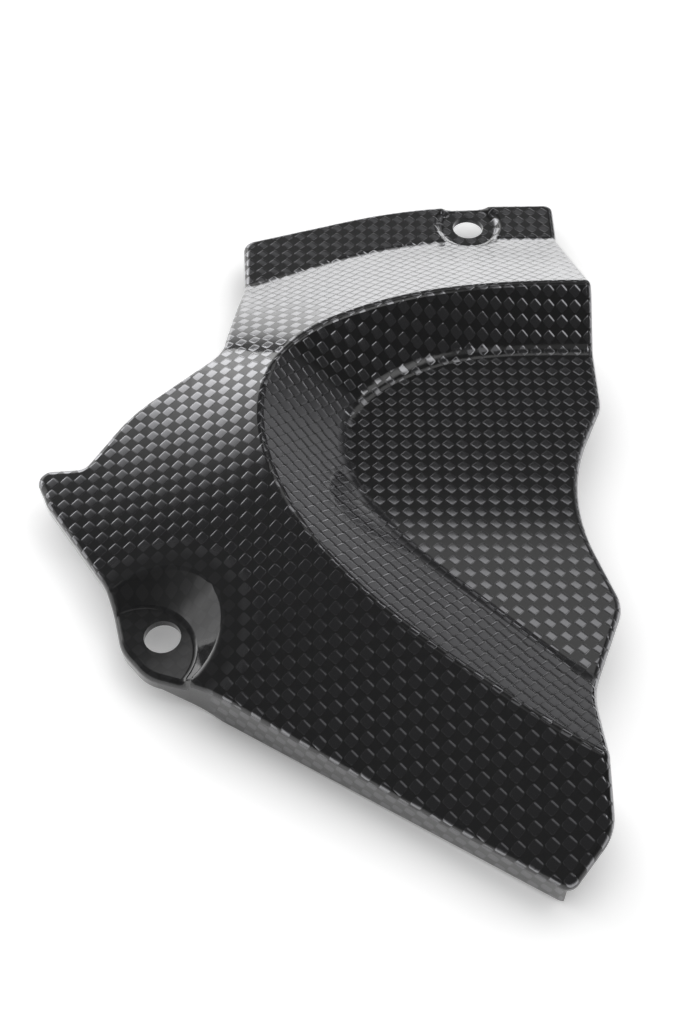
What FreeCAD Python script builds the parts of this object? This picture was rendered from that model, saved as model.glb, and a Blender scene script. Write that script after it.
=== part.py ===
import FreeCAD, Part
import math
import os
import Sketcher

# Sprocket cover: one thin moulded laminate shell with a raised crest around an open dish,
# a turned-down skirt along the lower side, a short lip along the left side and two bolt seats.
# Z runs along the bolts away from the engine, X to the rear, Y up.
# The origin is the centre of the lower bolt hole on the outer face of its seat.

doc = FreeCAD.newDocument("sprocket_cover")
sheet = doc.addObject("Spreadsheet::Sheet", "sizes")
values = {}


def size(name, number):
    """Put one driving dimension in the sheet under its name."""
    row = len(values) + 1
    sheet.set("A%d" % row, name)
    sheet.set("B%d" % row, str(number))
    sheet.setAlias("B%d" % row, name)
    values[name] = number


def portion(name, of, share):
    """Put a dimension in the sheet that is a share of another one."""
    size(name, "=%s*%s" % (of, share))
    values[name] = values[of] * share


# Driving lengths
lengths = {
    # Overall size in plan
    "cover_width": 114.6,
    "cover_length": 168.1,
    # Laminate and roundings
    "wall": 1.5,
    "crest_round": 1.6,
    "floor_round": 5.0,
    "foot_round": 4.0,
    "bank_round": 1.5,
    "rim_round": 1.4,
    # Bolt holes and their seats
    "hole_radius": 3.5,
    "lower_seat_radius": 10.0,
    "lower_seat_shift": 3.5,
    "upper_seat_radius": 6.4,
    "bank_height": 9.0,
    "bank_run": 9.0,
    # Levels of the faces above the seats
    "seat_level": 0.0,
    "floor_level": 5.0,
    "flange_level": 1.0,
    "deep_level": -30.0,
    "high_level": 40.0,
    # Lip on the left side, and where the skirt's lower edge and the ramp up to the lip start
    "lip_height": 3.2,
    "skirt_level": -8.6,
    "ramp_level": -1.0,
    # Root of the spokes under the floor, and the outer slopes' fall and hollow over their reach
    "spoke_root": 1.5,
    "back_fall": 26.7,
    "left_fall": 13.5,
    "front_fall": 26.0,
    "back_bow": 0.3,
    "left_bow": 2.0,
    "front_bow": 0.6,
}

# Climb of the skirt's lower edge and fall of the ramp, in degrees
angles = {"skirt_rise": 1.7, "ramp_fall": 23.0}

# Places in plan as shares of the width and of the length, from the lower hole:
# the upper hole, the cut rear and top edges that carry no skirt, the spokes' hub and their reach
width_shares = {"upper_hole_x": 0.5506, "open_x": 0.624, "open_front_x": 0.131, "hub_x": 0.6545, "reach": 0.5236}
length_shares = {"upper_hole_y": 0.6639, "open_y": 0.648, "open_front_y": 0.607, "hub_y": 0.2082}

# Directions of the spokes around the hub, in degrees
turns = {
    "a": 58.0, "b": 80.0, "c": 102.0, "d": 124.0,
    "e": 144.0, "f": 161.0, "g": 177.0, "h": 195.0,
    "i": 215.0, "j": 237.0, "k": 260.0, "l": 285.0,
}

# Each spoke: run to the dish floor, run to the crest, level of the crest
spokes = {
    "a": (38.6, 52.9, 12.7),
    "b": (33.8, 46.7, 12.9),
    "c": (33.8, 45.6, 13.3),
    "d": (36.8, 49.0, 14.0),
    "e": (40.5, 55.2, 14.7),
    "f": (42.3, 58.9, 15.0),
    "g": (40.3, 57.0, 14.6),
    "h": (36.1, 53.1, 13.7),
    "i": (32.9, 49.9, 12.5),
    "j": (32.9, 49.7, 11.3),
    "k": (38.6, 56.1, 10.4),
    "l": (53.5, 72.7, 9.7),
}

# Shares of the back, left and front slopes in each spoke
back_share = (1.0, 0.0, 0.0)
front_share = (0.0, 0.0, 1.0)
slope_shares = {
    "a": back_share,
    "b": back_share,
    "c": back_share,
    "d": back_share,
    "e": (0.7, 0.3, 0.0),
    "f": (0.15, 0.85, 0.0),
    "g": (0.0, 1.0, 0.0),
    "h": (0.0, 1.0, 0.0),
    "i": (0.0, 0.65, 0.35),
    "j": front_share,
    "k": front_share,
    "l": front_share,
}

# Corners of the plan outline as shares of the width and length, anticlockwise from the rear tip
corner_shares = {
    "tip": (0.6300, -0.2963),
    "heel": (0.6981, -0.2439),
    "waist": (0.6876, -0.0892),
    "point": (0.7539, 0.0238),
    "scallop": (0.6780, 0.1785),
    "shoulder": (0.7627, 0.3153),
    "brow": (0.7609, 0.4789),
    "neck": (0.7277, 0.6395),
    "rear_top": (0.7269, 0.7079),
    "crown": (0.4363, 0.7043),
    "front_top": (0.0960, 0.6306),
    "flank_top": (0.1030, 0.5473),
    "flank_foot": (0.0750, 0.3724),
    "ear": (-0.0820, 0.2939),
    "notch": (-0.1553, 0.2213),
    "tab": (-0.2513, 0.2249),
    "cheek": (-0.2173, 0.1737),
    "chin": (-0.0916, 0.0488),
    "boss": (-0.0672, -0.0155),
    "sole": (-0.0227, -0.0506),
    "keel": (0.0785, -0.0714),
}

# Bend radius of the outline at each corner
bends = {
    "tip": 2.5, "heel": 8.0, "waist": 22.0, "point": 8.0, "scallop": 40.0,
    "shoulder": 8.0, "brow": 20.0, "neck": 8.0, "rear_top": 2.0, "crown": 110.0,
    "front_top": 3.0, "flank_top": 10.0, "flank_foot": 7.0, "ear": 30.0, "notch": 2.5,
    "tab": 2.6, "cheek": 12.0, "chin": 20.0, "boss": 8.0, "sole": 8.0,
    "keel": 25.0,
}

for name, number in list(lengths.items()) + list(angles.items()):
    size(name, number)
for name, share in width_shares.items():
    portion(name, "cover_width", share)
for name, share in length_shares.items():
    portion(name, "cover_length", share)
for key, (floor_run, crest_run, crest_level) in spokes.items():
    size("turn_" + key, turns[key])
    size("floor_run_" + key, floor_run)
    size("crest_run_" + key, crest_run)
    size("crest_level_" + key, crest_level)
for key, (across, up) in corner_shares.items():
    portion(key + "_x", "cover_width", across)
    portion(key + "_y", "cover_length", up)
    size(key + "_bend", bends[key])

doc.recompute()


def vec(x, y, z=0.0):
    """Short form of a vector."""
    return FreeCAD.Vector(x, y, z)


def fix(sketch, kind, formula, *where):
    """Add a dimension to a sketch and tie it to the sheet."""
    number = sketch.addConstraint(Sketcher.Constraint(kind, *where))
    sketch.setExpression("Constraints[%d]" % number, formula)


def pin(sketch, geometry, end, x_formula, y_formula, point):
    """Fix a sketch point by its two distances from the sketch origin."""
    fix(sketch, "DistanceX", x_formula, -1, 1, geometry, end, point.x)
    fix(sketch, "DistanceY", y_formula, -1, 1, geometry, end, point.y)


def close(sketch, count):
    """Join the ends of consecutive sketch edges into a loop."""
    for here in range(count):
        after = (here + 1) % count
        sketch.addConstraint(Sketcher.Constraint("Coincident", here, 2, after, 1))


def arc(centre, radius, start, end):
    """Anticlockwise arc between two points."""
    a = math.atan2(start.y - centre.y, start.x - centre.x)
    b = math.atan2(end.y - centre.y, end.x - centre.x)
    return Part.ArcOfCircle(Part.Circle(centre, vec(0, 0, 1), radius), a, b)


def shared(key, stem):
    """Formula and number of a slope size shared between the three sides at one spoke."""
    parts = [(side, w) for side, w in zip(("back", "left", "front"), slope_shares[key]) if w > 0]
    formula = "+".join("%s*sizes.%s_%s" % (w, side, stem) for side, w in parts)
    return "(%s)" % formula, sum(w * values["%s_%s" % (side, stem)] for side, w in parts)


def spoke(key):
    """Upright cross-section through the dish wall, the crest and the outer slope along one spoke."""
    v = values
    floor_run, crest_run, crest_level = spokes[key]
    fall, fall_now = shared(key, "fall")
    bow, bow_now = shared(key, "bow")
    hollow = "(sizes.reach^2+%s^2)/(8*%s)+%s/2" % (fall, bow, bow)
    hollow_now = (v["reach"] ** 2 + fall_now ** 2) / (8 * bow_now) + bow_now / 2
    slant_now = (crest_run - floor_run) / (crest_level - v["floor_level"])
    start = vec(floor_run - v["spoke_root"] * slant_now, v["floor_level"] - v["spoke_root"])
    crest = vec(crest_run, crest_level)
    outer = vec(crest_run + v["reach"], crest_level - fall_now)
    low_outer = vec(outer.x, v["deep_level"])
    low_start = vec(start.x, v["deep_level"])
    half = (outer - crest) * 0.5
    above = vec(-half.y, half.x).normalize()
    centre = crest + half + above * math.sqrt(hollow_now ** 2 - half.Length ** 2)
    sketch = doc.addObject("Sketcher::SketchObject", "spoke_" + key)
    upright = FreeCAD.Rotation(vec(0, 0, 1), turns[key]) * FreeCAD.Rotation(vec(1, 0, 0), 90)
    sketch.Placement = FreeCAD.Placement(vec(v["hub_x"], v["hub_y"], 0), upright)
    sketch.setExpression("Placement.Base.x", "sizes.hub_x")
    sketch.setExpression("Placement.Base.y", "sizes.hub_y")
    sketch.addGeometry(Part.LineSegment(start, crest), False)
    sketch.addGeometry(arc(centre, hollow_now, crest, outer), False)
    sketch.addGeometry(Part.LineSegment(outer, low_outer), False)
    sketch.addGeometry(Part.LineSegment(low_outer, low_start), False)
    sketch.addGeometry(Part.LineSegment(low_start, start), False)
    close(sketch, 5)
    run = "sizes.crest_run_" + key
    level = "sizes.crest_level_" + key
    foot = "sizes.floor_run_" + key
    slant = "(%s-%s)/(%s-sizes.floor_level)" % (run, foot, level)
    pin(sketch, 0, 1, "%s-sizes.spoke_root*%s" % (foot, slant), "sizes.floor_level-sizes.spoke_root", start)
    pin(sketch, 0, 2, run, level, crest)
    pin(sketch, 1, 2, run + "+sizes.reach", level + "-" + fall, outer)
    fix(sketch, "Radius", hollow, 1, hollow_now)
    sketch.addConstraint(Sketcher.Constraint("Vertical", 2))
    sketch.addConstraint(Sketcher.Constraint("Horizontal", 3))
    sketch.addConstraint(Sketcher.Constraint("Vertical", 4))
    fix(sketch, "DistanceY", "sizes.deep_level", -1, 1, 3, 2, v["deep_level"])
    return sketch


def rounded(name, corners):
    """Closed plan outline: straight runs joined by tangent arcs at the named corners."""
    sketch = doc.addObject("Sketcher::SketchObject", name)
    points = [vec(values[key + "_x"], values[key + "_y"]) for key in corners]
    count = len(points)
    bends = []
    for i, key in enumerate(corners):
        back = (points[i - 1] - points[i]).normalize()
        ahead = (points[(i + 1) % count] - points[i]).normalize()
        radius = values[key + "_bend"]
        half = back.getAngle(ahead) / 2.0
        entry = points[i] + back * (radius / math.tan(half))
        leave = points[i] + ahead * (radius / math.tan(half))
        centre = points[i] + (back + ahead).normalize() * (radius / math.sin(half))
        bends.append((entry, leave, centre, radius, back.cross(ahead).z < 0))
    for i in range(count):
        entry, leave, centre, radius, left_turn = bends[i]
        ends = (entry, leave) if left_turn else (leave, entry)
        sketch.addGeometry(Part.LineSegment(leave, bends[(i + 1) % count][0]), False)
        sketch.addGeometry(arc(centre, radius, *ends), False)
        sketch.addGeometry(Part.Point(points[i]), True)
    for i, key in enumerate(corners):
        line_in = 3 * ((i - 1) % count)
        line_out = 3 * i
        bend = 3 * i + 1
        corner = 3 * i + 2
        first, last = (1, 2) if bends[i][4] else (2, 1)
        sketch.addConstraint(Sketcher.Constraint("Tangent", line_in, 2, bend, first))
        sketch.addConstraint(Sketcher.Constraint("Tangent", bend, last, line_out, 1))
        sketch.addConstraint(Sketcher.Constraint("PointOnObject", corner, 1, line_in))
        sketch.addConstraint(Sketcher.Constraint("PointOnObject", corner, 1, line_out))
        fix(sketch, "Radius", "sizes.%s_bend" % key, bend, bends[i][3])
        pin(sketch, corner, 1, "sizes.%s_x" % key, "sizes.%s_y" % key, points[i])
    return sketch


def polygon(name, corners):
    """Closed straight-sided plan outline from formulas with their present numbers."""
    sketch = doc.addObject("Sketcher::SketchObject", name)
    points = [vec(x_now, y_now) for x, y, x_now, y_now in corners]
    count = len(points)
    for i in range(count):
        sketch.addGeometry(Part.LineSegment(points[i], points[(i + 1) % count]), False)
    close(sketch, count)
    for i in range(count):
        pin(sketch, i, 1, corners[i][0], corners[i][1], points[i])
    return sketch


def prism(name, base, bottom, top):
    """Upright solid over a plan outline between two levels."""
    item = doc.addObject("Part::Extrusion", name)
    item.Base = base
    item.DirMode = "Custom"
    item.Dir = vec(0, 0, 1)
    item.Solid = True
    item.setExpression("LengthFwd", top)
    item.setExpression("LengthRev", "-(%s)" % bottom)
    return item


def pair(kind, name, base, tool):
    """Join, cut or intersect two solids."""
    item = doc.addObject(kind, name)
    item.Base = base
    item.Tool = tool
    doc.recompute()
    return item


def blend(name, base, radius, numbers):
    """Round the numbered edges of a solid."""
    item = doc.addObject("Part::Fillet", name)
    item.Base = base
    item.Edges = [(n, values[radius], values[radius]) for n in numbers]
    doc.recompute()
    return item


def samples(edge):
    """Points spread along an edge."""
    first, last = edge.ParameterRange
    return [edge.valueAt(first + (last - first) * part) for part in (0.02, 0.25, 0.5, 0.75, 0.98)]


def owners(shape, edge):
    """Faces that meet at an edge."""
    return [face for face in shape.Faces if any(edge.isSame(other) for other in face.Edges)]


def upright(face):
    """True for a face that stands along Z."""
    u0, u1, v0, v1 = face.ParameterRange
    return abs(face.normalAt((u0 + u1) / 2, (v0 + v1) / 2).z) < 0.01


def level_edges(shape, level):
    """Numbers of the curved edges that lie wholly at one level."""
    found = []
    for n, edge in enumerate(shape.Edges, 1):
        flat = all(abs(p.z - level) < 0.01 for p in samples(edge))
        if flat and edge.Curve.TypeId == "Part::GeomBSplineCurve" and edge.Length > values["reach"]:
            found.append(n)
    return found


# Dish with its crest and outer slopes, filled solid for now
ring = doc.addObject("Part::Loft", "ring")
ring.Sections = [spoke(key) for key in spokes]
ring.Solid = True
ring.Ruled = False
corners = []
for key, (floor_run, crest_run, crest_level) in spokes.items():
    turn = math.radians(turns[key])
    middle = "(sizes.floor_run_%s+sizes.crest_run_%s)/2" % (key, key)
    middle_now = (floor_run + crest_run) / 2
    corners.append((
        "sizes.hub_x+%s*cos(sizes.turn_%s*1deg)" % (middle, key),
        "sizes.hub_y+%s*sin(sizes.turn_%s*1deg)" % (middle, key),
        values["hub_x"] + middle_now * math.cos(turn),
        values["hub_y"] + middle_now * math.sin(turn),
    ))
floor_block = prism("floor_block", polygon("floor_plan", corners), "sizes.deep_level", "sizes.floor_level")
bowl = pair("Part::Fuse", "bowl", ring, floor_block)

# Flat flange behind the back slope
flange = doc.addObject("Part::Box", "flange")
flange.setExpression("Length", "1.4*sizes.cover_width")
flange.setExpression("Width", "0.4*sizes.cover_length")
flange.setExpression("Placement.Base.x", "-0.3*sizes.cover_width")
flange.setExpression("Placement.Base.y", "0.49*sizes.cover_length")
flange.setExpression("Placement.Base.z", "sizes.deep_level")
flange.setExpression("Height", "sizes.flange_level-sizes.deep_level")


def seat(name, radius, x, y, seam):
    """Bolt seat cutter: flat round bottom with a sloping bank around it."""
    item = doc.addObject("Part::Cone", name)
    item.Placement.Rotation = FreeCAD.Rotation(vec(0, 0, 1), seam)
    item.setExpression("Radius1", radius)
    item.setExpression("Radius2", radius + "+sizes.bank_run")
    item.setExpression("Height", "sizes.bank_height")
    item.setExpression("Placement.Base.x", x)
    item.setExpression("Placement.Base.y", y)
    item.setExpression("Placement.Base.z", "sizes.seat_level")
    return item


shift = "-sizes.lower_seat_shift"
lower_seat = seat("lower_seat", "sizes.lower_seat_radius", shift, shift, 225)
upper_seat = seat("upper_seat", "sizes.upper_seat_radius", "sizes.upper_hole_x", "sizes.upper_hole_y", 90)
seats = pair("Part::Fuse", "seats", lower_seat, upper_seat)

# Outer form with all its roundings
floor_level = values["floor_level"]
crest_edges = []
for n, edge in enumerate(bowl.Shape.Edges, 1):
    if edge.Length > values["cover_width"] and all(p.z > floor_level + 1 for p in samples(edge)):
        crest_edges.append(n)
crest = blend("crest", bowl, "crest_round", crest_edges)
dish = blend("dish", crest, "floor_round", level_edges(crest.Shape, floor_level))
backed = pair("Part::Fuse", "backed", dish, flange)
foot = blend("foot", backed, "foot_round", level_edges(backed.Shape, values["flange_level"]))
seated = pair("Part::Cut", "seated", foot, seats)
bank_edges = []
for n, edge in enumerate(seated.Shape.Edges, 1):
    faces = owners(seated.Shape, edge)
    if len(faces) == 2 and any(face.Surface.TypeId == "Part::GeomCone" for face in faces):
        bank_edges.append(n)
form = blend("form", seated, "bank_round", bank_edges)

# Outer form cut to the plan outline, with a rounded rim over the skirt and the lip
plan = rounded("plan", list(corner_shares))
doc.recompute()
bounds = prism("bounds", plan, "sizes.deep_level-5", "sizes.high_level")
trimmed = pair("Part::Common", "trimmed", form, bounds)
skirt_slope = (values["tip_y"] - values["keel_y"]) / (values["tip_x"] - values["keel_x"])
rim_edges = []
for n, edge in enumerate(trimmed.Shape.Edges, 1):
    faces = owners(trimmed.Shape, edge)
    middle = samples(edge)[2]
    high = min(p.z for p in samples(edge)) > values["deep_level"] / 2
    on_left = middle.x < values["open_front_x"] and middle.y < values["open_front_y"] + 2
    skirt_y = values["keel_y"] + skirt_slope * (middle.x - values["keel_x"])
    on_low = middle.x < values["tip_x"] + values["tip_bend"] and middle.y < skirt_y + values["tip_bend"]
    if high and len(faces) == 2 and [upright(face) for face in faces].count(True) == 1 and (on_left or on_low):
        rim_edges.append(n)
rim = blend("rim", trimmed, "rim_round", rim_edges)

# Hollow: the sharp form lowered by the wall, within the outline drawn in by the wall
sharp_back = pair("Part::Fuse", "sharp_back", bowl, flange)
sharp = pair("Part::Cut", "sharp", sharp_back, seats)
lowered = doc.addObject("Part::Compound", "lowered")
lowered.Links = [sharp]
lowered.setExpression("Placement.Base.z", "-sizes.wall")
face = doc.addObject("Part::Face", "plan_face")
face.Sources = [plan]
inset = doc.addObject("Part::Offset2D", "inset")
inset.Source = face
inset.setExpression("Value", "-sizes.wall")
inset.Join = "Arc"
inset.Mode = "Skin"
doc.recompute()
inside = prism("inside", inset, "sizes.deep_level-5", "sizes.high_level")
v = values
far = 2 * v["cover_length"]
open_plan = polygon("open_plan", [
    ("sizes.open_x", "-2*sizes.cover_length", v["open_x"], -far),
    ("2*sizes.cover_length", "-2*sizes.cover_length", far, -far),
    ("2*sizes.cover_length", "2*sizes.cover_length", far, far),
    ("sizes.open_front_x", "2*sizes.cover_length", v["open_front_x"], far),
    ("sizes.open_front_x", "sizes.open_front_y", v["open_front_x"], v["open_front_y"]),
    ("sizes.open_x", "sizes.open_y", v["open_x"], v["open_y"]),
])
doc.recompute()
open_side = prism("open_side", open_plan, "sizes.deep_level-5", "sizes.high_level")
room = pair("Part::Fuse", "room", inside, open_side)
core = pair("Part::Common", "core", lowered, room)
shell = pair("Part::Cut", "shell", rim, core)


def under(name, level, slope):
    """Block below a plane that climbs along the skirt by an angle."""
    item = doc.addObject("Part::Box", name)
    item.setExpression("Length", "4*sizes.cover_length")
    item.setExpression("Width", "4*sizes.cover_length")
    item.setExpression("Height", "sizes.cover_length")
    turn = FreeCAD.Rotation(vec(0, 0, 1), math.degrees(math.atan(skirt_slope)))
    tilt = FreeCAD.Rotation(vec(0, 1, 0), -slope)
    span = values["cover_length"]
    corner = turn.multVec(tilt.multVec(vec(-2 * span, -2 * span, -span)))
    item.Placement = FreeCAD.Placement(corner, turn * tilt)
    item.setExpression("Placement.Base.z", "%s+%r" % (level, corner.z))
    return item


# Lower edge: skirt plane, and the ramp that leaves only a lip along the left side
skirt_block = under("skirt_block", "sizes.skirt_level", values["skirt_rise"])
ramp_block = under("ramp_block", "sizes.ramp_level", -values["ramp_fall"])
hung = doc.addObject("Part::Compound", "hung")
hung.Links = [sharp]
hung.setExpression("Placement.Base.z", "-sizes.lip_height")
doc.recompute()
lip_waste = pair("Part::Common", "lip_waste", hung, ramp_block)
drills = []
for name, x, y in (("lower_hole", "0", "0"), ("upper_hole", "sizes.upper_hole_x", "sizes.upper_hole_y")):
    drill = doc.addObject("Part::Cylinder", name)
    drill.Height = 30
    drill.Placement.Base.z = -15
    drill.setExpression("Radius", "sizes.hole_radius")
    drill.setExpression("Placement.Base.x", x)
    drill.setExpression("Placement.Base.y", y)
    drills.append(drill)
doc.recompute()
lipped = pair("Part::Cut", "lipped", shell, lip_waste)
skirted = pair("Part::Cut", "skirted", lipped, skirt_block)
bored = pair("Part::Cut", "bored", skirted, drills[0])
cover = pair("Part::Cut", "sprocket_cover", bored, drills[1])
cover.Label = "sprocket_cover"

for item in doc.Objects:
    if "Invalid" in item.State or "Error" in item.State:
        raise ValueError("%s did not build" % item.Name)
if cover.Shape.isNull() or not cover.Shape.isValid() or len(cover.Shape.Solids) != 1:
    raise ValueError("the cover is not one valid solid")
os.makedirs("parts", exist_ok=True)
cover.Shape.Solids[0].exportStep("parts/sprocket_cover.step")
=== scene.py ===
"""Looks of a clear-coated carbon-fibre sprocket cover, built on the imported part."""

import logging
import math
from dataclasses import dataclass
from enum import Enum
from functools import reduce
from operator import mul
from typing import Union

import bpy
import numpy as np
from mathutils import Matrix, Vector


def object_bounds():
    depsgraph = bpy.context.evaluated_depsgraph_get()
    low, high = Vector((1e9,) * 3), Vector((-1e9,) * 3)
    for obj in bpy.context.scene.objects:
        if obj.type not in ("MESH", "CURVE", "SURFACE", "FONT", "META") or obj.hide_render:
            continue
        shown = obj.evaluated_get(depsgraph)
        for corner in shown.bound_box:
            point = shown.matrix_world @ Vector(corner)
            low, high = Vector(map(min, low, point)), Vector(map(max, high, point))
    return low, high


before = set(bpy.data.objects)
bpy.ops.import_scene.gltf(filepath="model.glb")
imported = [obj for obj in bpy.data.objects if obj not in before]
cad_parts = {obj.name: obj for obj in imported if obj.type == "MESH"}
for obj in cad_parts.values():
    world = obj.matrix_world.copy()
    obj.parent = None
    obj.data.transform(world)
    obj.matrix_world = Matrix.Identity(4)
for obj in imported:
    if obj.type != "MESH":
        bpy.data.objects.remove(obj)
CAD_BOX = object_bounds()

log = logging.getLogger("sprocket_cover")
NODE = "sprocket_cover"
IMAGE_SIZE = (682, 1024)
MM = 0.001
HALF_ROOT = math.sqrt(0.5)
ALONG_TOWS = (HALF_ROOT, HALF_ROOT, 0.0)
ACROSS_TOWS = (HALF_ROOT, -HALF_ROOT, 0.0)
LEAST_LEAN = 1e-4
LEAST_RISE = 0.05
SHADE_SAMPLES = 16
SMOOTH = {"interpolation_type": "SMOOTHSTEP"}
BACKGROUND_RAYS = ("Is Camera Ray", "Is Glossy Ray", "Is Transmission Ray")
WHITE = (1.0, 1.0, 1.0, 1.0)
LYING_SQUARE = np.array([[-1, -1, 0], [1, -1, 0], [1, 1, 0], [-1, 1, 0]])
STANDING_SQUARE = np.array([[-1, 0, 0], [1, 0, 0], [1, 0, 1], [-1, 0, 1]])
ONE_FACE = np.array([[0, 1, 2, 3]])

Number = Union[float, "Value"]


class Op(Enum):
    """Math node operations in use."""

    ADD = "ADD"
    SUBTRACT = "SUBTRACT"
    MULTIPLY = "MULTIPLY"
    DIVIDE = "DIVIDE"
    FLOOR = "FLOOR"
    SQRT = "SQRT"
    MAXIMUM = "MAXIMUM"
    MINIMUM = "MINIMUM"
    FLOORED_MODULO = "FLOORED_MODULO"


class VectorOp(Enum):
    """Vector Math node operations in use."""

    ADD = "ADD"
    SCALE = "SCALE"
    NORMALIZE = "NORMALIZE"


class Along(Enum):
    """Coordinates that the soft edges of a light are measured along."""

    X = "right"
    Y = "back"
    Z = "up"
    SIDE = "right over up"
    DEPTH = "back over up"
    SLANTED = "back over up, turned on the left side"


class Graph:
    """A node tree that makes every node through one method."""

    def __init__(self, tree: bpy.types.NodeTree) -> None:
        """Start from an empty tree.

        Args:
            tree: Node tree of a material or world.
        """
        self.tree = tree
        tree.nodes.clear()

    def node(self, kind: str, settings: dict | None = None, **sockets: object) -> bpy.types.Node:
        """Add one node.

        Args:
            kind: Blender node type.
            settings: Attributes that are set before the sockets.
            **sockets: Values or links by socket name, or by "i" and a number.

        Returns:
            The new node.
        """
        made = self.tree.nodes.new(kind)
        for name, value in (settings or {}).items():
            setattr(made, name, value)
        for name, value in sockets.items():
            key = int(name[1:]) if name[1:].isdigit() else name.replace("_", " ")
            socket = made.inputs[key]
            if isinstance(value, Value):
                self.tree.links.new(value.socket, socket)
            elif isinstance(value, bpy.types.NodeSocket):
                self.tree.links.new(value, socket)
            else:
                socket.default_value = value
        return made

    def math(self, op: Op, a: Number, b: Number = 0.0) -> "Value":
        """Return a Math node's result for one or two numbers or values."""
        made = self.node("ShaderNodeMath", {"operation": op.value}, i0=a, i1=b)
        return Value(self, made.outputs[0])

    def vector(self, op: VectorOp, a: object, **others: object) -> bpy.types.NodeSocket:
        """Return a Vector Math node's vector for a first vector and the other sockets."""
        made = self.node("ShaderNodeVectorMath", {"operation": op.value}, i0=a, **others)
        return made.outputs[0]

    def split(self, vector: bpy.types.NodeSocket) -> tuple["Value", "Value", "Value"]:
        """Return the three components of a vector."""
        made = self.node("ShaderNodeSeparateXYZ", None, i0=vector)
        return tuple(Value(self, out) for out in made.outputs)

    def ramp(self, value: "Value", start: float, full: float) -> "Value":
        """Return a smooth step of a value, 0 at the start and 1 where it is full, rising or falling."""
        made = self.node("ShaderNodeMapRange", SMOOTH, i0=value, i1=start, i2=full)
        return Value(self, made.outputs[0])

    def shade(
        self, factor: "Value", low: tuple[float, ...], high: tuple[float, ...]
    ) -> bpy.types.NodeSocket:
        """Return a colour between two colours."""
        made = self.node("ShaderNodeMix", {"data_type": "RGBA"}, i0=factor, i6=low, i7=high)
        return made.outputs[2]


@dataclass(frozen=True)
class Value:
    """One number in a node tree, with the arithmetic written as Python operators."""

    graph: Graph
    socket: bpy.types.NodeSocket

    def __add__(self, other: Number) -> "Value":
        """Return the value plus another."""
        return self.graph.math(Op.ADD, self, other)

    def __radd__(self, other: Number) -> "Value":
        """Return another plus the value."""
        return self.graph.math(Op.ADD, other, self)

    def __sub__(self, other: Number) -> "Value":
        """Return the value less another."""
        return self.graph.math(Op.SUBTRACT, self, other)

    def __rsub__(self, other: Number) -> "Value":
        """Return another less the value."""
        return self.graph.math(Op.SUBTRACT, other, self)

    def __mul__(self, other: Number) -> "Value":
        """Return the value times another."""
        return self.graph.math(Op.MULTIPLY, self, other)

    def __rmul__(self, other: Number) -> "Value":
        """Return another times the value."""
        return self.graph.math(Op.MULTIPLY, other, self)

    def __truediv__(self, other: Number) -> "Value":
        """Return the value over another."""
        return self.graph.math(Op.DIVIDE, self, other)

    def __rtruediv__(self, other: Number) -> "Value":
        """Return another over the value."""
        return self.graph.math(Op.DIVIDE, other, self)

    def __mod__(self, other: Number) -> "Value":
        """Return what is left of the value after whole steps of another."""
        return self.graph.math(Op.FLOORED_MODULO, self, other)

    def __rmod__(self, other: Number) -> "Value":
        """Return what is left of another after whole steps of the value."""
        return self.graph.math(Op.FLOORED_MODULO, other, self)

    def apply(self, op: Op) -> "Value":
        """Return an operation on the value alone."""
        return self.graph.math(op, self)

    def fourth(self) -> "Value":
        """Return the fourth power of the value."""
        square = self * self
        return square * square


@dataclass(frozen=True)
class Edge:
    """One soft edge of a light: none of it at the start, all of it where it is full."""

    along: Along
    start: float
    full: float

    def share(self, places: dict[Along, Value]) -> Value:
        """Return the light's share past this edge."""
        place = places[self.along]
        return place.graph.ramp(place, self.start, self.full)


@dataclass(frozen=True)
class Patch:
    """A light of one strength within its soft edges."""

    strength: float
    edges: tuple[Edge, ...]

    def glow(self, places: dict[Along, Value]) -> Value:
        """Return the product of the edges' shares and the strength."""
        return reduce(mul, (edge.share(places) for edge in self.edges)) * self.strength


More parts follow.
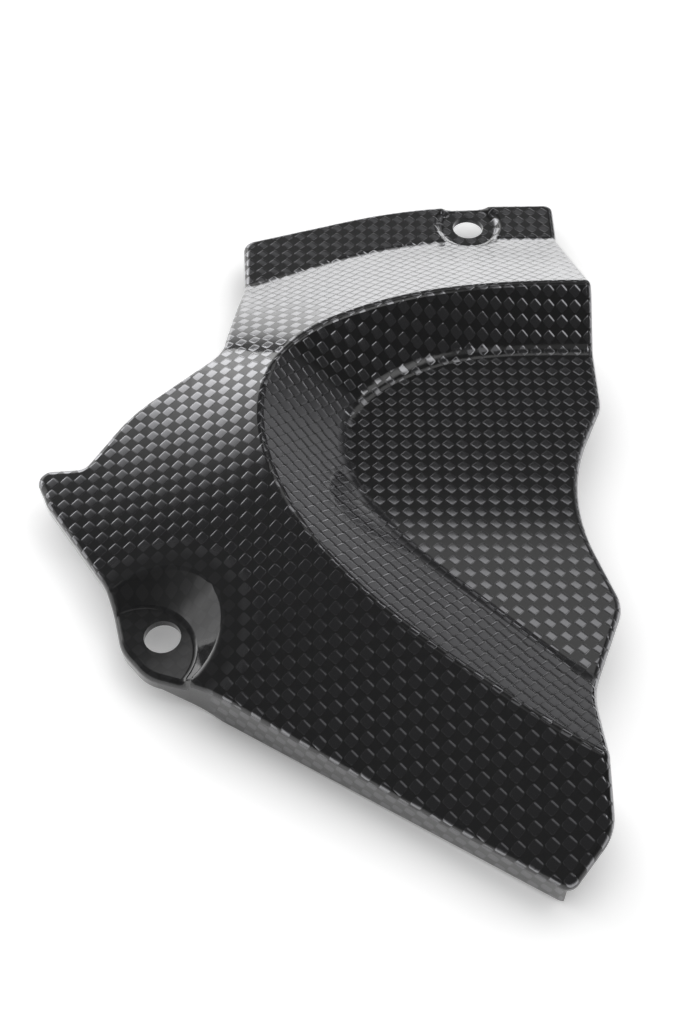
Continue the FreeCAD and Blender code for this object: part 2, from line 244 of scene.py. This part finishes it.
@dataclass(frozen=True)
class Weave:
    """Plain-weave carbon laminate under a clear coat, with its tows at 45 degrees to X and Y.

    The first tows run up to the right. The second tows are dark, but on slopes that lean to the back
    right they are shown bright and metallic like the first tows: a painted highlight for the light
    they would catch there. Resin pools on upright walls and in the seat round the lower hole.
    """

    pitch_mm: float = 2.0
    dome_tilt: float = 0.025
    edge_tilt: float = 0.26
    edge_end: float = 1.05
    end_flat: float = 0.42
    side_flat: float = 0.70
    cell_limits: tuple[float, float] = (1.50, 0.60)
    # Painted highlight: the second tows are shown bright and metallic only past this lean to the back
    # right.
    painted_second_highlight_lean: tuple[float, float] = (0.10, 0.26)
    wall_lean: tuple[float, float] = (0.80, 0.97)
    wall_pooling: float = 0.45
    seat_fade_mm: tuple[float, float] = (19.0, 14.0)
    seat_pooling: float = 0.92
    over: tuple[float, ...] = (0.22, 0.22, 0.23, 1.0)
    under: tuple[float, ...] = (0.036, 0.036, 0.037, 1.0)
    roughness: float = 0.13
    resin_level: float = 0.25
    coat_ior: float = 1.46
    coat_roughness: float = 0.03
    inside_turn: tuple[float, float] = (-0.05, -0.3)
    inside_roughness: float = 0.55

    def slope(self, place: Value, flat: float) -> Value:
        """Return a tow's slope at a place across its cell, gently domed with rounded-off edges.

        Args:
            place: Distance from the middle of the cell, from -1 to 1.
            flat: Share of the half cell that has no edge rounding.

        Returns:
            The dome's straight line plus a smooth step that starts where the flat ends.
        """
        ramp = place.graph.ramp
        rise = ramp(place, flat, self.edge_end) - ramp(place, -flat, -self.edge_end)
        return place * self.dome_tilt + rise * self.edge_tilt

    def tows(
        self, g: Graph, place: tuple[Value, ...], facing: tuple[Value, ...]
    ) -> tuple[Value, bpy.types.NodeSocket]:
        """Lay the two families of tows over the part as a chequer of cells.

        Upright walls are unfolded: on them, height counts as distance outwards, so that the weave
        runs on over the rim.

        Args:
            g: Node tree of the laminate.
            place: Coordinates on the part in millimetres.
            facing: Components of the surface's normal.

        Returns:
            How far a tow shows bright and metallic, from 0 to 1, taking in the second tows'
            painted highlight on slopes that lean to the back right, and the tilt that its cell
            adds to the normal.
        """
        x, y, z = place
        nx, ny, _ = facing
        lean = (nx * nx + ny * ny).apply(Op.SQRT) + LEAST_LEAN
        wall = g.ramp(lean, *self.wall_lean)
        u = x - wall * nx / lean * z
        v = y - wall * ny / lean * z
        scale = HALF_ROOT / self.pitch_mm
        along = (u + v) * scale
        across = (u - v) * scale
        odd = (along.apply(Op.FLOOR) + across.apply(Op.FLOOR)) % 2.0
        a = (along - along.apply(Op.FLOOR)) * 2.0 - 1.0
        b = (across - across.apply(Op.FLOOR)) * 2.0 - 1.0
        seat = g.ramp((x * x + y * y).apply(Op.SQRT), *self.seat_fade_mm)
        pooled = g.math(Op.MAXIMUM, wall * self.wall_pooling, seat * self.seat_pooling)
        first = (1.0 - odd) * (1.0 - pooled)
        # Painted highlight: the second tows show bright and metallic only on slopes that lean to the
        # back right, where they would catch the light.
        second_painted_highlight = odd * (1.0 - pooled) * g.ramp(nx + ny, *self.painted_second_highlight_lean)
        shown = g.ramp(a.fourth() + b.fourth(), *self.cell_limits) * (first + second_painted_highlight)
        tilt_along = self.slope(a, self.end_flat) * first + self.slope(a, self.side_flat) * second_painted_highlight
        tilt_across = self.slope(b, self.side_flat) * first + self.slope(b, self.end_flat) * second_painted_highlight
        lengthways = g.vector(VectorOp.SCALE, ALONG_TOWS, Scale=tilt_along)
        crossways = g.vector(VectorOp.SCALE, ACROSS_TOWS, Scale=tilt_across)
        return shown, g.vector(VectorOp.ADD, lengthways, i1=crossways)

    def material(self) -> bpy.types.Material:
        """Make the laminate: metallic tows between dark resin, coated outside and dull inside.

        Returns:
            The new material.
        """
        made = bpy.data.materials.new("carbon_laminate")
        made.use_nodes = True
        g = Graph(made.node_tree)
        metres = g.split(g.node("ShaderNodeTexCoord").outputs["Object"])
        normal = g.node("ShaderNodeNewGeometry").outputs["Normal"]
        facing = g.split(normal)
        shown, tilt = self.tows(g, tuple(part * (1 / MM) for part in metres), facing)
        bent = g.vector(VectorOp.NORMALIZE, g.vector(VectorOp.ADD, normal, i1=tilt))
        inside = g.ramp(facing[2], *self.inside_turn)
        shader = g.node(
            "ShaderNodeBsdfPrincipled",
            None,
            Base_Color=g.shade(shown, self.under, self.over),
            Metallic=shown,
            Roughness=inside * (self.inside_roughness - self.roughness) + self.roughness,
            Normal=bent,
            Coat_Weight=1.0 - inside,
            Coat_Roughness=self.coat_roughness,
            Coat_IOR=self.coat_ior,
            Specular_IOR_Level=self.resin_level,
        )
        g.node("ShaderNodeOutputMaterial", None, Surface=shader.outputs[0])
        return made


@dataclass
class Cover:
    """The moulded shell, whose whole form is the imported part's."""

    weave: Weave

    def dress(self) -> None:
        """Give the shell its finish."""
        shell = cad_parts[NODE]
        shell.data.materials.clear()
        shell.data.materials.append(self.weave.material())
        log.info("dressed %s", NODE)


@dataclass
class Studio:
    """White floor and wall, a card behind the part, and soft light all round as in a tent."""

    floor_colour: tuple[float, ...] = (0.85, 0.85, 0.85, 1.0)
    floor_lift: float = 0.86
    floor_reach: float = 2.5
    shade_reach: float = 0.016
    wall_height: float = 0.6
    wall_sides: int = 96
    card_size: tuple[float, float] = (1.0, 0.08)
    card_depth: float = 0.26
    card_full_share: float = 0.4
    card_glow: float = 1.75
    card_ends: tuple[Edge, ...] = (Edge(Along.X, -0.35, -0.15), Edge(Along.X, 0.22, 0.12))
    room: float = 0.075
    slant: float = 0.9
    horizon: Patch = Patch(0.22, (Edge(Along.Z, 0.60, 0.34),))
    dim_back: Patch = Patch(
        1.0, (Edge(Along.Y, 0.30, 0.60), Edge(Along.X, 0.40, 0.25), Edge(Along.X, -0.30, -0.10))
    )
    left: Patch = Patch(0.9, (Edge(Along.X, -0.55, -0.80), Edge(Along.Z, 0.42, 0.25)))
    left_corner: Patch = Patch(
        2.4, (Edge(Along.X, -0.05, -0.30), Edge(Along.Y, 0.20, 0.50), Edge(Along.Z, 0.80, 0.35))
    )
    right_corner: Patch = Patch(
        0.07, (Edge(Along.X, 0.30, 0.50), Edge(Along.Y, 0.05, 0.35), Edge(Along.Z, 0.74, 0.55))
    )
    ceiling: Patch = Patch(
        0.85,
        (
            Edge(Along.SIDE, -0.40, -0.25),
            Edge(Along.SIDE, 0.60, 0.40),
            Edge(Along.DEPTH, 0.46, 0.56),
            Edge(Along.SLANTED, 0.745, 0.70),
        ),
    )
    overhead: Patch = Patch(
        0.28,
        (
            Edge(Along.SIDE, -0.28, -0.20),
            Edge(Along.SIDE, 0.60, 0.50),
            Edge(Along.DEPTH, -0.25, -0.15),
            Edge(Along.DEPTH, 0.16, 0.08),
        ),
    )
    overhead_right: Patch = Patch(
        1.3,
        (
            Edge(Along.SIDE, 0.28, 0.40),
            Edge(Along.SIDE, 0.75, 0.60),
            Edge(Along.DEPTH, -0.28, -0.08),
            Edge(Along.DEPTH, 0.42, 0.30),
        ),
    )
    rear: Patch = Patch(
        0.2,
        (
            Edge(Along.SIDE, -0.25, -0.12),
            Edge(Along.SIDE, 0.35, 0.22),
            Edge(Along.DEPTH, 0.92, 1.02),
            Edge(Along.DEPTH, 1.35, 1.20),
        ),
    )

    def build(self) -> None:
        """Build the stage pieces and the light around them."""
        self.floor()
        self.wall()
        self.card()
        self.surroundings()

    def sheet(
        self, name: str, points: np.ndarray, faces: np.ndarray
    ) -> tuple[bpy.types.Object, Graph]:
        """Make one stage piece with an empty material.

        Args:
            name: Name of the piece and its material.
            points: Corners in metres.
            faces: Rows of four corner numbers.

        Returns:
            The piece and the node tree of its material.
        """
        mesh = bpy.data.meshes.new(name)
        mesh.from_pydata(points.tolist(), [], faces.tolist())
        made = bpy.data.objects.new(name, mesh)
        bpy.context.scene.collection.objects.link(made)
        finish = bpy.data.materials.new(name)
        finish.use_nodes = True
        mesh.materials.append(finish)
        log.info("built %s", name)
        return made, Graph(finish.node_tree)

    def seen(self, g: Graph) -> Value:
        """Return 1 for the rays that show the background: from the camera, mirrored or let through."""
        path = g.node("ShaderNodeLightPath").outputs
        return sum(Value(g, path[name]) for name in BACKGROUND_RAYS)

    def floor(self) -> None:
        """Make the white floor at the part's lowest point, lifted to white but for the part's shade."""
        points = self.floor_reach * LYING_SQUARE + [0.0, 0.0, CAD_BOX[0].z]
        _, g = self.sheet("floor", points, ONE_FACE)
        plain = g.node("ShaderNodeBsdfDiffuse", None, Color=self.floor_colour)
        shade = g.node(
            "ShaderNodeAmbientOcclusion", {"samples": SHADE_SAMPLES}, Distance=self.shade_reach
        )
        open_share = Value(g, shade.outputs["AO"])
        strength = self.seen(g) * open_share * open_share * self.floor_lift
        lift = g.node("ShaderNodeEmission", None, Strength=strength)
        both = g.node("ShaderNodeAddShader", None, i0=plain.outputs[0], i1=lift.outputs[0])
        g.node("ShaderNodeOutputMaterial", None, Surface=both.outputs[0])

    def wall(self) -> None:
        """Stand a white wall around the floor that shows as background and takes no light away.

        Its corners are a ring of equal steps round a circle at the floor, and the same ring raised.
        """
        turn = np.linspace(0.0, 2.0 * math.pi, self.wall_sides, endpoint=False)
        ring = np.stack([np.cos(turn), np.sin(turn), np.zeros_like(turn)], axis=1) * self.floor_reach
        low = ring + [0.0, 0.0, CAD_BOX[0].z]
        high = low + [0.0, 0.0, self.wall_height]
        here = np.arange(self.wall_sides)
        after = (here + 1) % self.wall_sides
        faces = np.stack([here, after, after + self.wall_sides, here + self.wall_sides], axis=1)
        made, g = self.sheet("wall", np.concatenate([low, high]), faces)
        made.visible_diffuse = False
        made.visible_shadow = False
        glow = g.node("ShaderNodeEmission", None, Strength=self.seen(g))
        g.node("ShaderNodeOutputMaterial", None, Surface=glow.outputs[0])

    def card(self) -> None:
        """Stand a glowing card behind the part, brightest at the floor and fading to its edges."""
        width, height = self.card_size
        low = CAD_BOX[0].z
        points = STANDING_SQUARE * [width / 2, 1.0, height] + [0.0, self.card_depth, low]
        made, g = self.sheet("back_card", points, ONE_FACE)
        made.visible_camera = False
        made.visible_shadow = False
        x, _, z = g.split(g.node("ShaderNodeTexCoord").outputs["Object"])
        top = Edge(Along.Z, low + height, low + self.card_full_share * height)
        glow = Patch(self.card_glow, (*self.card_ends, top)).glow({Along.X: x, Along.Z: z})
        lamp = g.node("ShaderNodeEmission", None, Strength=glow)
        g.node("ShaderNodeOutputMaterial", None, Surface=lamp.outputs[0])

    def surroundings(self) -> None:
        """Make the light around the part.

        An even room has a paler horizon, dim behind the part, and soft patches on the walls and
        overhead. Each is a product of smooth steps of the direction.
        """
        world = bpy.data.worlds.new("room")
        world.use_nodes = True
        bpy.context.scene.world = world
        g = Graph(world.node_tree)
        x, y, z = g.split(g.node("ShaderNodeTexCoord").outputs["Generated"])
        rise = g.math(Op.MAXIMUM, z, LEAST_RISE)
        side = x / rise
        depth = y / rise
        slanted = depth - g.math(Op.MINIMUM, side, 0.0) * self.slant
        places = {
            Along.X: x,
            Along.Y: y,
            Along.Z: z,
            Along.SIDE: side,
            Along.DEPTH: depth,
            Along.SLANTED: slanted,
        }
        horizon = self.horizon.glow(places) * (1.0 - self.dim_back.glow(places))
        walls = (self.left, self.left_corner, self.right_corner)
        above = (self.ceiling, self.overhead, self.overhead_right, self.rear)
        light = sum((patch.glow(places) for patch in walls + above), horizon) + self.room
        sky = g.node("ShaderNodeBackground", None, Color=WHITE, Strength=light)
        g.node("ShaderNodeOutputWorld", None, Surface=sky.outputs[0])
        log.info("built the light of %s", world.name)


@dataclass
class Viewpoint:
    """The photograph's camera, looking straight back and down."""

    focal_px: float = 1450.0
    down_deg: float = 53.5
    place: tuple[float, float, float] = (0.0335, -0.1429, 0.2325)
    sensor_mm: float = 36.0
    nearest: float = 0.01

    def build(self) -> None:
        """Make the camera and set the scene to it."""
        data = bpy.data.cameras.new("camera")
        data.sensor_fit = "AUTO"
        data.sensor_width = self.sensor_mm
        data.lens = self.sensor_mm * self.focal_px / max(IMAGE_SIZE)
        data.clip_start = self.nearest
        eye = bpy.data.objects.new("camera", data)
        eye.location = self.place
        eye.rotation_euler = (math.radians(90.0 - self.down_deg), 0.0, 0.0)
        bpy.context.scene.collection.objects.link(eye)
        bpy.context.scene.camera = eye
        log.info("built %s", eye.name)


def main() -> None:
    """Dress the part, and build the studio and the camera."""
    logging.basicConfig(level=logging.INFO)
    bpy.context.scene.view_settings.view_transform = "Standard"
    Cover(Weave()).dress()
    Studio().build()
    Viewpoint().build()


if __name__ == "__main__":
    main()
